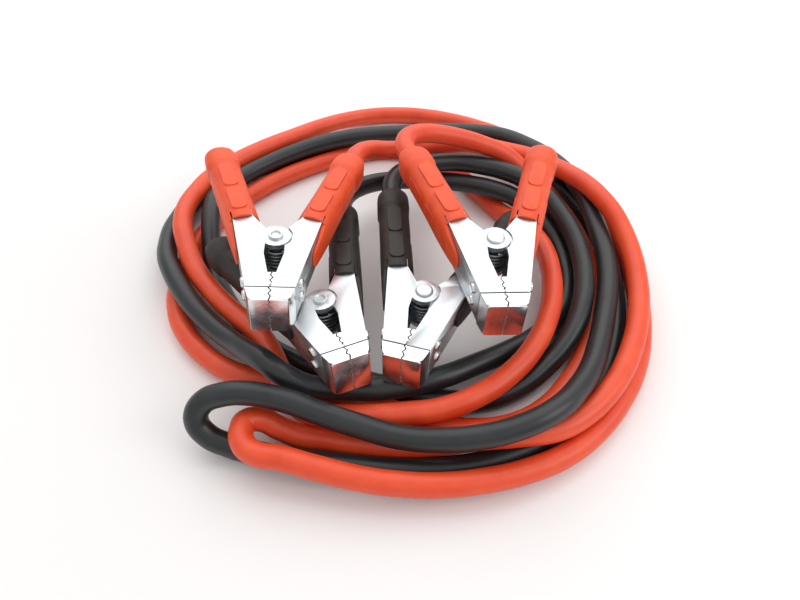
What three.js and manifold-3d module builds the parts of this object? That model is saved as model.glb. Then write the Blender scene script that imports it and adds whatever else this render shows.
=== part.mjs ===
// Car jumper cables, coiled, with four spring clamps lying in and on the coil.
// Units are millimetres, +Z is up, and the cables lie on the plane z = 0.

import * as THREE from 'three';
import { mergeVertices } from 'three/addons/utils/BufferGeometryUtils.js';
import Module from 'manifold-3d';

const wasm = await Module();
wasm.setup();

// Sizes of the cables
const cableDiameter = 12;
const cableSides = 8;

// Where the centre of the coil's bounding box lies in the routes' own x and y
const coilCentre = [-2.4, 33.5];

// Sizes of the clamp, measured from its pivot: the tip is at -y, the handles at +y
const plateThickness = 1.3;
const clampDepth = 21;
const fitGap = 0.3;
const midDepth = -clampDepth / 2;
const tipLine = -36.9;
const tipHalfWidth = 11.8;
const noseLine = -44.6;
const noseHalfWidth = 9.8;
const mouthCentre = [17.8, 13.3];
const mouthHalfWidth = 5.4;
const handleAngle = 18 * Math.PI / 180;
const earRadius = 7.7;
const earRecessRadius = 8.7;
const earOverlap = 12.5;
const windowCorner = [5, -12.8];
const jawHalfGap = 0.35;

// Teeth of the jaw inserts
const toothPitch = 3.6;
const toothDepth = 1.3;
const teethEnd = -24.8;
const insertLip = 0.6;
const tailDepth = 9;

// Handle tang inside the grip
const tangWidth = 9;
const tangDepth = 13;
const tangStart = 3;
const tangEnd = 47;

// Grip
const gripLength = 71;
const gripWall = 2;
const gripCavityStart = 5.5;
const innerFlap = 8;
const outerFlap = 20;
const boreDepth = 14;
const gripStations = [
  // [place along the grip, half width, half height]
  [-22, 8.3, 12.5],
  [0, 8.9, 12.5],
  [9, 8.9, 12.3],
  [23, 8.7, 11.3],
  [40, 8.7, 10.6],
  [53, 8.9, 10.4],
  [56.5, 9.5, 10.6],
  [63.5, 9.4, 10.2],
  [67.8, 8.3, 8.9],
  [70.3, 5.8, 6.5],
];
const gripCorner = 0.42;
const gripPoints = 16;

// Pivot rivet, spring and jaw rivets
const rivetRadius = 3;
const rivetHeadRadius = 4.7;
const rivetHeadHeight = 1.4;
const springRadius = 7.6;
const springWire = 1.8;
const springTurns = 5;
const springStepsPerTurn = 12;
const springPitch = 2.55;
const springLegLength = 20;
const jawRivetRadius = 1.4;
const jawRivetHeadRadius = 2.6;
const jawRivetHeadHeight = 1;
const jawRivetAlong = -28;
const jawRivetOffset = 4.5;

// Where each clamp lies: pivot on its upper plate, and its turns in degrees
const clamps = [
  {
    name: 'red_clamp_left',
    colour: 'red',
    cableSide: 1,
    pivot: [-62.9, -18.4, 69.3],
    turns: [3.2, -1, 5.5],
  },
  {
    name: 'red_clamp_right',
    colour: 'red',
    cableSide: -1,
    pivot: [48.2, -20.6, 69.7],
    turns: [1.8, 2.1, 0.6],
  },
  {
    name: 'black_clamp_left',
    colour: 'black',
    cableSide: 1,
    pivot: [-40.6, -41, 46],
    turns: [23.3, -5.4, 0.3],
  },
  {
    name: 'black_clamp_right',
    colour: 'black',
    cableSide: -1,
    pivot: [12.5, -35.7, 46.6],
    turns: [-15.2, 0.2, 0.9],
  },
];

// Routes of the cables, from the middle of one clamp's grip to the other's
const redRoute = [
  [-32, 52.6, 54], [-28.9, 64.2, 53.4], [-26.3, 73.3, 53], [-19.5, 82, 50.3], [-8.6, 88, 46],
  [4.3, 96, 41], [18.4, 107.5, 35], [36.7, 119.3, 29], [56, 126, 23.5], [75.5, 124, 20.5],
  [90, 115.5, 22], [102.5, 100.5, 25.5], [111.5, 85.5, 29.5], [120, 71, 31.5], [126.5, 58.5, 31],
  [132, 48, 28.5], [136.5, 34.5, 24.5], [139, 17, 20.5], [138, -2, 18.5], [135, -18.5, 18],
  [129, -37.5, 18], [121, -55, 18], [113.5, -67.5, 18], [104, -79.5, 18], [91.5, -91, 18],
  [76, -100, 18.5], [57.5, -103.5, 19], [37.5, -104, 16.5], [20, -104, 12], [0, -103.5, 7.5],
  [-20.5, -101, 6], [-37.5, -98.5, 6], [-50, -96.7, 6.5], [-60, -94.5, 10.5], [-68, -93, 15.5], [-75, -96, 18.5],
  [-76, -99, 18.7], [-74.5, -107.5, 18.7], [-67, -113.5, 18.7], [-56, -115.5, 18.7],
  [-40.5, -119.5, 17.5], [-20, -124, 15.5], [0, -126, 13.5], [20, -126, 12.5], [39.5, -123.5, 12],
  [60.5, -117.5, 10], [80.5, -108, 8], [100, -92.5, 6.5], [115, -75, 6], [127, -55.5, 6],
  [136.5, -30, 6], [141.5, -1.5, 6], [143, 28.5, 6], [140, 62, 6], [130.5, 93.5, 6],
  [116, 121, 6], [97.5, 146, 6], [80, 162, 6], [60, 175, 6], [40, 184.5, 6], [20, 190.5, 6],
  [0, 193, 6], [-20, 191, 6.5], [-39, 183.5, 8], [-59.5, 169, 11], [-77.5, 151, 14.5],
  [-97, 131, 18], [-116.5, 111, 19], [-130, 92.5, 19], [-135, 79.5, 19], [-138, 64.5, 20],
  [-136.5, 46, 21], [-130.5, 28, 20.5], [-121.5, 9, 19.5], [-110.5, -6.5, 19], [-95, -23.5, 18.5],
  [-76, -41.5, 18.5], [-68.5, -53, 18.5], [-62.5, -65, 18.3], [-57.5, -75.3, 13.8],
  [-50.5, -83.5, 11.2], [-40, -88.5, 12], [-29, -90.5, 14.5],
  [-13, -92, 17], [2, -91.5, 18.5], [19, -89.5, 19], [38.5, -81.5, 19], [57.5, -67, 19], [71.5, -50, 19],
  [81.5, -30.5, 19], [87, -11.5, 19], [89, 8.5, 18.5], [88, 27.5, 17], [85, 40.5, 15],
  [79, 56, 11], [71.5, 68.5, 7.5], [66, 77, 6], [57.5, 90.5, 6], [48.5, 105, 6], [38, 119.5, 6],
  [24.5, 134, 6], [9.5, 142, 6], [-5.5, 145, 6], [-20, 143.5, 6], [-45, 135.5, 6],
  [-60, 128, 6], [-80, 115, 6], [-99.5, 97.5, 6], [-112.5, 81, 6], [-121, 66.5, 6],
  [-128, 50, 6], [-131, 36.5, 6], [-133, 24.5, 6], [-133.5, 6.5, 6], [-130.5, -11.5, 6],
  [-121.5, -30, 6], [-106, -47, 6], [-90, -57.5, 6], [-73, -62.5, 6], [-58.5, -65, 6],
  [-42, -70, 6], [-31, -73.5, 6], [-18, -77.5, 6], [0, -83.5, 6], [20.5, -90.5, 6], [40.5, -93, 6], [60, -89, 6],
  [76, -79.5, 6], [89, -65.5, 6], [99.5, -50, 6], [107.5, -29.5, 6], [113.5, -5, 6],
  [116.5, 19.5, 6], [116, 39.5, 6], [113.5, 55.5, 6], [110, 68, 7], [103.5, 81, 9.5],
  [95.5, 91.5, 14.5], [84.5, 98.5, 21.5], [70, 102, 33], [53, 101, 42], [38.4, 97.5, 49],
  [25.7, 94, 54], [15, 89, 58], [7.5, 82.5, 61], [3.5, 75, 62.5], [3.2, 66.8, 62.7],
  [5.8, 59.2, 62.4], [9.9, 48, 61.9],
];
const blackRoute = [
  [-34.5, 35.8, 28.8], [-35.6, 47.7, 27.7], [-36.3, 56.5, 26.9], [-34.3, 66.5, 26], [-27.4, 76.6, 24.5],
  [-16.3, 85, 22.5], [-3.5, 90, 20.5], [14.5, 91.5, 19.5], [33, 90, 19.5], [48, 87, 19.5],
  [62, 82.5, 19], [76.5, 76, 17], [88.5, 66.5, 13], [97.5, 51.5, 9], [102, 35.5, 6.5],
  [102, 15.5, 6], [97.5, -5, 6], [90, -19, 6], [79.5, -31, 6.5], [62.5, -43.5, 8.5],
  [40.5, -57.5, 13], [20, -69.5, 17.5], [0, -75.5, 18.5], [-14, -77, 18.5], [-29, -77.5, 19.7],
  [-40, -78, 20.7], [-48.5, -77.3, 23], [-58, -75.5, 29], [-67, -69, 30.5], [-77, -60, 26.5], [-89, -48, 20.5], [-104.5, -33.5, 18.5],
  [-120.5, -15.5, 19], [-136, 9, 18.5], [-141.5, 21.5, 16.5], [-145, 36, 13.5],
  [-147.5, 54.5, 9.5], [-147, 65, 7.5], [-144, 79.5, 6.5], [-135.5, 95.5, 6], [-121, 110.5, 6],
  [-99, 125, 6], [-77, 136.5, 6], [-55.5, 146.5, 6], [-39.5, 152.5, 6], [-20, 157.5, 6],
  [0, 160, 6], [24.5, 160.5, 6], [44.5, 157.5, 6], [61.5, 152, 6], [77.5, 142, 6], [92, 129.5, 6],
  [104.5, 114, 6], [114.5, 97, 6], [122.5, 78.5, 6], [127, 62, 6], [129.5, 45, 6],
  [130, 20, 6], [128, 0.5, 6], [124, -20.5, 6], [116.5, -43, 6], [107, -63, 6], [94.5, -79.5, 6],
  [78, -94, 6], [59.5, -104.5, 6], [40, -111.5, 6], [20, -114.5, 6], [0, -115, 6],
  [-19.5, -113.5, 6], [-35.5, -111.5, 6], [-55.5, -109, 6], [-70, -106, 6], [-84, -102.5, 7.5],
  [-94, -99.5, 11.5], [-99, -95, 18.5], [-95.5, -90.5, 26], [-85.5, -88.5, 30.5],
  [-72.5, -88.5, 31.7], [-56, -91.3, 30.5], [-38, -96.5, 27], [-18.5, -101.3, 23], [-0.5, -106, 21.5],
  [19, -109.5, 24.5], [36.5, -110, 28], [54, -107, 31], [73.5, -97, 31], [88, -81.5, 26.5],
  [98, -66, 22.5], [105.5, -49.5, 19.5], [112.5, -31, 18], [118.5, -12, 18], [123, 8.5, 18],
  [124.5, 26.5, 18], [124, 49.5, 18], [122, 72.5, 19], [118.5, 89, 19], [112.5, 105, 19],
  [103.5, 120.5, 18.5], [91, 133.5, 18.5], [76, 143.5, 19], [57, 149.5, 18.5], [38.5, 151, 18.5],
  [19.5, 150.5, 18.5], [0.5, 148.5, 18.5], [-19.5, 146.5, 18.5], [-38, 143.5, 18],
  [-57.5, 137.5, 17], [-77, 127.5, 16], [-98, 112.5, 15], [-108, 101.5, 15.5], [-117, 87, 17],
  [-121.5, 72, 19], [-121.5, 60, 18.5], [-120, 46.5, 15.5], [-117.5, 31.5, 10.5],
  [-113.5, 16.5, 7.5], [-105, -1.5, 6], [-92, -20.5, 6], [-76.5, -37.5, 6], [-59.5, -49, 6],
  [-40, -57, 6], [-19.5, -63.5, 6], [-0.5, -69, 6], [20, -75, 6], [40, -76, 6], [60.5, -69, 6.5],
  [80, -54, 9.5], [89.5, -44, 12.5], [97.5, -31.5, 15.5], [103, -18, 17.5], [106.5, -5.5, 18],
  [109, 19.5, 18.5], [107, 40.5, 19.5], [102.5, 54.5, 21], [95, 68.5, 24], [83, 81.5, 27],
  [68.5, 90, 28.5], [55, 94, 29.5], [41, 95.5, 31], [28.8, 93.5, 32.8], [16.3, 89, 34.3],
  [6, 82.5, 35.5], [-2, 73.5, 36.5], [-5.3, 63.5, 36.8], [-4.8, 52.8, 37], [-4.2, 40.8, 36.9],
];

// Materials
const materials = {
  red: new THREE.MeshStandardMaterial({ color: 0xd8452c, roughness: 0.5, metalness: 0 }),
  black: new THREE.MeshStandardMaterial({ color: 0x1d1f20, roughness: 0.5, metalness: 0 }),
  steel: new THREE.MeshStandardMaterial({ color: 0xc6cacd, roughness: 0.35, metalness: 1 }),
  chrome: new THREE.MeshStandardMaterial({ color: 0xe2e4e6, roughness: 0.12, metalness: 1 }),
};

// Solids and meshes
function toSolid(geometry) {
  geometry.deleteAttribute('normal');
  geometry.deleteAttribute('uv');
  const merged = mergeVertices(geometry);
  const mesh = new wasm.Mesh({
    numProp: 3,
    vertProperties: new Float32Array(merged.getAttribute('position').array),
    triVerts: new Uint32Array(merged.getIndex().array),
  });
  return new wasm.Manifold(mesh);
}

function toGeometry(solid) {
  const mesh = solid.getMesh();
  const geometry = new THREE.BufferGeometry();
  const positions = new Float32Array(mesh.vertProperties);
  geometry.setAttribute('position', new THREE.BufferAttribute(positions, 3));
  geometry.setIndex(new THREE.BufferAttribute(new Uint32Array(mesh.triVerts), 1));
  geometry.computeVertexNormals();
  return geometry;
}

// An outline in x and y, raised from one height to another
function prism(outline, bottom, top) {
  const shape = new THREE.Shape(outline.map(([x, y]) => new THREE.Vector2(x, y)));
  const settings = { depth: top - bottom, bevelEnabled: false };
  const geometry = new THREE.ExtrudeGeometry(shape, settings);
  geometry.translate(0, 0, bottom);
  return toSolid(geometry);
}

function disc(radius, bottom, top, sides = 24) {
  const outline = [];
  for (let i = 0; i < sides; i += 1) {
    const angle = (i / sides) * 2 * Math.PI;
    outline.push([radius * Math.cos(angle), radius * Math.sin(angle)]);
  }
  return prism(outline, bottom, top);
}

function box(x0, x1, y0, y1, z0, z1) {
  return prism([[x0, y0], [x1, y0], [x1, y1], [x0, y1]], z0, z1);
}

// Turns a solid built beside the y axis onto the handle of one side
function onHandle(geometry, side) {
  geometry.rotateZ(-side * handleAngle);
  geometry.translate(side * mouthCentre[0], mouthCentre[1], midDepth);
  return geometry;
}

function alongHandle(side, along, across) {
  const sine = Math.sin(handleAngle);
  const cosine = Math.cos(handleAngle);
  const x = mouthCentre[0] + along * sine + across * cosine;
  const y = mouthCentre[1] + along * cosine - across * sine;
  return [side * x, y];
}

// Outline of one jaw's plates, made smaller by an inset from the outer edge
function plateOutline(side, inset) {
  const outer = mouthHalfWidth - inset;
  const inner = -mouthHalfWidth - inset;
  const outline = [
    [side * (jawHalfGap - inset), tipLine],
    [side * (tipHalfWidth - inset), tipLine],
    alongHandle(side, -1.5, outer),
    alongHandle(side, gripCavityStart - fitGap, outer),
    alongHandle(side, gripCavityStart - fitGap, inner),
    alongHandle(side, 0, inner),
  ];
  const steps = 14;
  const from = 0.25 * Math.PI;
  const to = 1.72 * Math.PI;
  for (let i = 0; i <= steps; i += 1) {
    const angle = from + ((to - from) * i) / steps;
    outline.push([side * earRadius * Math.cos(angle), earRadius * Math.sin(angle)]);
  }
  outline.push([side * (windowCorner[0] - inset), windowCorner[1]]);
  outline.push([side * (jawHalfGap - inset), tipLine + 2.5]);
  return outline;
}

// The space between the plates, inside the bent outer wall
function innerSpace(side, wall) {
  const reach = earRadius + 10;
  const outer = mouthHalfWidth - wall;
  const outline = [
    [-side * reach, tipLine - 10],
    [side * (tipHalfWidth - wall + 0.25 * 10), tipLine - 10],
    [side * (tipHalfWidth - wall), tipLine],
    alongHandle(side, -1.5, outer),
    alongHandle(side, gripCavityStart + 1, outer),
    alongHandle(side, gripCavityStart + 1, -mouthHalfWidth - reach),
  ];
  return outline;
}

// One half of a clamp: two plates, the bent outer wall and the tang in the grip.
// The left half's ears lie outside those of the right half.
function buildHalf(side) {
  let half = prism(plateOutline(side, 0), -clampDepth, 0);
  const space = prism(
    innerSpace(side, plateThickness),
    -clampDepth + plateThickness,
    -plateThickness,
  );
  half = half.subtract(space);
  if (side > 0) {
    const recess = plateThickness + fitGap;
    const lowered = prism(plateOutline(side, 0), -2 * plateThickness - fitGap, -recess);
    const ring = disc(earOverlap, -2 * plateThickness - fitGap, -recess);
    const step = disc(earOverlap, -recess, -plateThickness + 0.1);
    const joint = prism(plateOutline(side, 0), -recess, -plateThickness + 0.1);
    const pad = lowered.intersect(ring).add(joint.intersect(step));
    const hollow = disc(earRecessRadius, -recess, 1);
    half = half.subtract(hollow).add(pad.subtract(hollow));
    const mirror = pad.subtract(hollow).mirror([0, 0, 1]).translate([0, 0, -clampDepth]);
    const hollowBelow = disc(earRecessRadius, -clampDepth - 1, -clampDepth + recess);
    half = half.subtract(hollowBelow).add(mirror);
  }
  const tang = new THREE.BoxGeometry(tangWidth, tangEnd - tangStart, tangDepth);
  tang.translate(0, (tangEnd + tangStart) / 2, 0);
  const tangInside = new THREE.BoxGeometry(
    tangWidth,
    tangEnd - tangStart + 2,
    tangDepth - 2 * plateThickness,
  );
  tangInside.translate(-side * plateThickness, (tangEnd + tangStart) / 2, 0);
  half = half.add(toSolid(onHandle(tang, side)).subtract(toSolid(onHandle(tangInside, side))));
  const back = new THREE.BoxGeometry(2 * mouthHalfWidth, plateThickness, clampDepth);
  back.translate(0, gripCavityStart - fitGap - plateThickness / 2, 0);
  half = half.add(toSolid(onHandle(back, side)));
  half = half.subtract(disc(rivetRadius + fitGap, -clampDepth - 1, 1));
  for (const offset of [-jawRivetOffset, jawRivetOffset]) {
    half = half.subtract(jawRivetHole(side, offset));
  }
  return toGeometry(half);
}

// The outer wall's line near the tip, at a place along y
function wallAt(side, along) {
  const [mouthX, mouthY] = alongHandle(1, -1.5, mouthHalfWidth);
  const slope = (mouthX - tipHalfWidth) / (mouthY - tipLine);
  return { x: side * (tipHalfWidth + slope * (along - tipLine)), angle: Math.atan(slope) };
}

function placeOnWall(geometry, side, offset) {
  const wall = wallAt(side, jawRivetAlong);
  geometry.rotateZ(side > 0 ? -Math.PI / 2 : Math.PI / 2);
  geometry.rotateZ(-side * wall.angle);
  geometry.translate(wall.x, jawRivetAlong, midDepth + offset);
  return geometry;
}

function jawRivetHole(side, offset) {
  const radius = jawRivetRadius + fitGap;
  const hole = new THREE.CylinderGeometry(radius, radius, 4 * plateThickness, 12);
  return toSolid(placeOnWall(hole, side, offset));
}

function buildJawRivet(side, offset) {
  const inside = -plateThickness - 0.1;
  const profile = [
    [0, inside],
    [jawRivetRadius, inside],
    [jawRivetRadius, fitGap],
    [jawRivetHeadRadius, fitGap],
    [jawRivetHeadRadius * 0.8, fitGap + jawRivetHeadHeight * 0.75],
    [0, fitGap + jawRivetHeadHeight],
  ];
  const points = profile.map(([radius, height]) => new THREE.Vector2(radius, height));
  return placeOnWall(new THREE.LatheGeometry(points, 10), side, offset);
}

// Toothed insert: the nose in front of the plates and a tail between them
function buildInsert(side) {
  const teeth = [];
  const count = Math.round((teethEnd - noseLine) / (toothPitch / 2));
  for (let i = 0; i <= count; i += 1) {
    const y = noseLine + (i * toothPitch) / 2;
    const shift = i === 0 || i === count ? 0 : (i % 2 ? toothDepth / 2 : -toothDepth / 2);
    teeth.push([side * jawHalfGap + shift, y]);
  }
  const top = insertLip;
  const wall = plateThickness + fitGap;
  const tipIn = tipLine - fitGap;
  const noseOutline = [
    [side * jawHalfGap, noseLine],
    [side * (noseHalfWidth - 1.2), noseLine],
    [side * noseHalfWidth, noseLine + 1.2],
    [side * tipHalfWidth, tipIn],
    [side * 3, tipIn],
    [side * -2, tipIn],
    [side * -2, noseLine],
  ];
  const block = [
    ...teeth,
    [side * tailDepth, teethEnd],
    [side * tailDepth, noseLine],
  ];
  const nose = prism(noseOutline, -clampDepth - top, top);
  const long = prism(block, -clampDepth - top, top);
  const toothCut = prism(
    [...teeth, [-side * 8, teethEnd], [-side * 8, noseLine]],
    -clampDepth - 2,
    2,
  );
  const tail = long.intersect(box(-20, 20, tipIn - 1, 0, -clampDepth + wall, -wall));
  return toGeometry(nose.subtract(toothCut).add(tail));
}

// Grip: rings of a rounded section along the handle, closed by a domed end
function gripRing(halfWidth, halfHeight) {
  const ring = [];
  for (let i = 0; i < gripPoints; i += 1) {
    const angle = ((i + 0.5) / gripPoints) * 2 * Math.PI;
    const power = 2 * gripCorner;
    const x = Math.sign(Math.cos(angle)) * Math.abs(Math.cos(angle)) ** power;
    const z = Math.sign(Math.sin(angle)) * Math.abs(Math.sin(angle)) ** power;
    ring.push([halfWidth * x, halfHeight * z]);
  }
  return ring;
}

function buildGripBody() {
  const positions = [];
  const index = [];
  for (const [along, halfWidth, halfHeight] of gripStations) {
    for (const [x, z] of gripRing(halfWidth, halfHeight)) {
      positions.push(x, along, z);
    }
  }
  const last = gripStations.length - 1;
  for (let s = 0; s < last; s += 1) {
    for (let i = 0; i < gripPoints; i += 1) {
      const next = (i + 1) % gripPoints;
      const a = s * gripPoints + i;
      const b = s * gripPoints + next;
      index.push(a, a + gripPoints, b);
      index.push(b, a + gripPoints, b + gripPoints);
    }
  }
  const start = positions.length / 3;
  positions.push(0, gripStations[0][0], 0);
  positions.push(0, gripLength, 0);
  for (let i = 0; i < gripPoints; i += 1) {
    const next = (i + 1) % gripPoints;
    index.push(start, i, next);
    index.push(start + 1, last * gripPoints + next, last * gripPoints + i);
  }
  const geometry = new THREE.BufferGeometry();
  geometry.setAttribute('position', new THREE.Float32BufferAttribute(positions, 3));
  geometry.setIndex(index);
  return geometry;
}

function buildGrip(side, holdsCable) {
  let grip = toSolid(onHandle(buildGripBody(), side));
  const cavity = prism(
    [
      [wallAt(side, -outerFlap).x + side * fitGap, -outerFlap],
      alongHandle(side, -1.5, mouthHalfWidth + fitGap),
      alongHandle(side, gripCavityStart, mouthHalfWidth + fitGap),
      alongHandle(side, gripCavityStart, -mouthHalfWidth - fitGap),
      alongHandle(side, -outerFlap - 5, -mouthHalfWidth - fitGap),
    ],
    -clampDepth - fitGap,
    fitGap,
  );
  grip = grip.subtract(cavity);
  const tang = new THREE.BoxGeometry(
    tangWidth + 2 * fitGap,
    tangEnd + 2 * fitGap,
    tangDepth + 2 * fitGap,
  );
  tang.translate(0, (tangEnd + 2 * fitGap) / 2, 0);
  grip = grip.subtract(toSolid(onHandle(tang, side)));
  // Past the mouth only the two flaps beside the plates are left
  const past = new THREE.BoxGeometry(60, 40, 60);
  past.translate(0, -20, 0);
  const outerPart = new THREE.BoxGeometry(30, outerFlap + 2, 13);
  outerPart.translate(side * (mouthHalfWidth + fitGap + 15), -outerFlap / 2 + 1, 0);
  const innerPart = new THREE.BoxGeometry(30, innerFlap + 2, 13);
  innerPart.translate(-side * (mouthHalfWidth + fitGap + 15), -innerFlap / 2 + 1, 0);
  const flaps = toSolid(onHandle(outerPart, side)).add(toSolid(onHandle(innerPart, side)));
  grip = grip.subtract(toSolid(onHandle(past, side)).subtract(flaps));
  if (holdsCable) {
    const radius = (cableDiameter / 2 + 2 * fitGap) / Math.cos(Math.PI / 16);
    const bore = new THREE.CylinderGeometry(radius, radius, boreDepth + 10, 16);
    bore.translate(0, gripLength - boreDepth + (boreDepth + 10) / 2, 0);
    grip = grip.subtract(toSolid(onHandle(bore, side)));
  }
  return toGeometry(grip);
}

// Pivot rivet: a shaft through the four ears with a domed head at each end
function buildPivot() {
  const low = -clampDepth - fitGap;
  const profile = [
    [0, low - rivetHeadHeight],
    [rivetHeadRadius * 0.6, low - rivetHeadHeight * 0.8],
    [rivetHeadRadius, low - rivetHeadHeight * 0.2],
    [rivetHeadRadius, low],
    [rivetRadius, low],
    [rivetRadius, fitGap],
    [rivetHeadRadius, fitGap],
    [rivetHeadRadius, fitGap + rivetHeadHeight * 0.2],
    [rivetHeadRadius * 0.6, fitGap + rivetHeadHeight * 0.8],
    [0, fitGap + rivetHeadHeight],
  ];
  const points = profile.map(([radius, height]) => new THREE.Vector2(radius, height));
  const geometry = new THREE.LatheGeometry(points, 16);
  geometry.rotateX(Math.PI / 2);
  return geometry;
}

// Torsion spring round the pivot, with a leg towards each handle
function buildSpring() {
  const points = [];
  const height = springTurns * springPitch;
  const legAngle = 0.5 * Math.PI - handleAngle - 0.12;
  const start = legAngle - 0.5 * Math.PI;
  const total = springTurns * 2 * Math.PI + 2 * handleAngle + 0.24 + Math.PI;
  const steps = Math.round((total / (2 * Math.PI)) * springStepsPerTurn);
  const leg = [Math.cos(legAngle), Math.sin(legAngle)];
  const low = midDepth - height / 2;
  for (let i = 0; i <= steps; i += 1) {
    const angle = start - (total * i) / steps + total;
    const x = springRadius * Math.cos(angle);
    const y = springRadius * Math.sin(angle);
    points.push(new THREE.Vector3(x, y, low + (height * i) / steps));
  }
  const first = points[0];
  const last = points[points.length - 1];
  points.unshift(new THREE.Vector3(
    first.x - springLegLength * leg[0],
    first.y + springLegLength * leg[1],
    first.z,
  ));
  points.push(new THREE.Vector3(
    last.x + springLegLength * leg[0],
    last.y + springLegLength * leg[1],
    last.z,
  ));
  return tube(points, springWire / 2, 6);
}

// A round section carried along a list of points, one step for each point
function tube(points, radius, sides) {
  const curve = new THREE.CatmullRomCurve3(points, false, 'centripetal');
  curve.getPointAt = (u, target) => curve.getPoint(u, target);
  curve.getTangentAt = (u, target) => curve.getTangent(u, target);
  const shape = new THREE.Shape();
  for (let i = 0; i < sides; i += 1) {
    const angle = ((i + 0.5) / sides) * 2 * Math.PI;
    const x = radius * Math.cos(angle);
    const y = radius * Math.sin(angle);
    if (i === 0) {
      shape.moveTo(x, y);
    } else {
      shape.lineTo(x, y);
    }
  }
  shape.closePath();
  const settings = { steps: points.length - 1, bevelEnabled: false, extrudePath: curve };
  return new THREE.ExtrudeGeometry(shape, settings);
}

// The part, shifted so that the middle of its footprint is the origin
const part = new THREE.Group();
part.name = 'jumper_cables';
const shift = new THREE.Matrix4().makeTranslation(-coilCentre[0], -coilCentre[1], 0);

function addNode(name, geometry, material, placing) {
  const placed = geometry.clone();
  placed.applyMatrix4(placing);
  const mesh = new THREE.Mesh(placed, material);
  mesh.name = name;
  part.add(mesh);
}

function clampPlacing({ pivot, turns }) {
  const [yaw, pitch, roll] = turns.map((degrees) => THREE.MathUtils.degToRad(degrees));
  const placing = shift.clone();
  placing.multiply(new THREE.Matrix4().makeTranslation(pivot[0], pivot[1], pivot[2]));
  placing.multiply(new THREE.Matrix4().makeRotationZ(yaw));
  placing.multiply(new THREE.Matrix4().makeRotationX(pitch));
  placing.multiply(new THREE.Matrix4().makeRotationY(roll));
  return placing;
}

for (const [colour, route] of [['red', redRoute], ['black', blackRoute]]) {
  const points = route.map(([x, y, z]) => new THREE.Vector3(x, y, z));
  const geometry = tube(points, cableDiameter / 2, cableSides);
  addNode(`${colour}_cable`, geometry, materials[colour], shift);
}

const sides = [['left', -1], ['right', 1]];
const pivot = buildPivot();
const spring = buildSpring();
for (const clamp of clamps) {
  const placing = clampPlacing(clamp);
  for (const [word, side] of sides) {
    const name = `${clamp.name}_${word}`;
    addNode(`${name}_half`, buildHalf(side), materials.steel, placing);
    addNode(`${name}_insert`, buildInsert(side), materials.chrome, placing);
    const grip = buildGrip(side, side === clamp.cableSide);
    addNode(`${name}_grip`, grip, materials[clamp.colour], placing);
    addNode(`${name}_rivet_upper`, buildJawRivet(side, jawRivetOffset), materials.steel, placing);
    addNode(`${name}_rivet_lower`, buildJawRivet(side, -jawRivetOffset), materials.steel, placing);
  }
  addNode(`${clamp.name}_pivot`, pivot, materials.steel, placing);
  addNode(`${clamp.name}_spring`, spring, materials.steel, placing);
}

export default part;
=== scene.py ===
# Coiled car jumper cables with four spring clamps lying in and on the coil.
# The scene is in metres; each clamp's pieces are modelled in millimetres and then placed.

import math

import bpy
from mathutils import Matrix, Vector


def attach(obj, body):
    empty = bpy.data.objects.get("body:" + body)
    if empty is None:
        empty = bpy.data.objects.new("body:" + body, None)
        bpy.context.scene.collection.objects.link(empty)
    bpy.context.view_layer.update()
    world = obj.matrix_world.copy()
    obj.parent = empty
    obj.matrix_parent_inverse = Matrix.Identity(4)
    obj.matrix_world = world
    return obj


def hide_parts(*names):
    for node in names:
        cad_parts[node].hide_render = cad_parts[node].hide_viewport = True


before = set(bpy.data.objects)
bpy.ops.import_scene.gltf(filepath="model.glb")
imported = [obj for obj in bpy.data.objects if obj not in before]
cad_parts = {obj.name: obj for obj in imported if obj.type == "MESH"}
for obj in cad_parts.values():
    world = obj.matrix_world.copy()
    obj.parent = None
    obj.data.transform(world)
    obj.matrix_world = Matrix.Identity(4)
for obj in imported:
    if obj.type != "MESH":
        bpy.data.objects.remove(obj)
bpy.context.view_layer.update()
scene = bpy.context.scene


# Colours and material nodes
def rgb(hex_code):
    """An sRGB hex colour as linear RGBA."""
    channels = []
    for i in (0, 2, 4):
        value = int(hex_code[i:i + 2], 16) / 255
        linear = value / 12.92 if value <= 0.04045 else ((value + 0.055) / 1.055) ** 2.4
        channels.append(linear)
    return (*channels, 1)


def add_node(tree, kind, links=(), **values):
    """A node with its socket values and attributes set, linked from (output, input name) pairs."""
    node = tree.nodes.new(kind)
    for key, value in values.items():
        if hasattr(node, key):
            setattr(node, key, value)
        else:
            node.inputs[key.replace("_", " ")].default_value = value
    for output, name in links:
        tree.links.new(output, node.inputs[name])
    return node


def ramp(tree, source, low, low_colour, high, high_colour):
    node = add_node(tree, "ShaderNodeValToRGB", [(source, "Fac")])
    first, last = node.color_ramp.elements
    first.position = low
    first.color = low_colour
    last.position = high
    last.color = high_colour
    return node.outputs["Color"]


def grey(value):
    return (value, value, value, 1)


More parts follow.
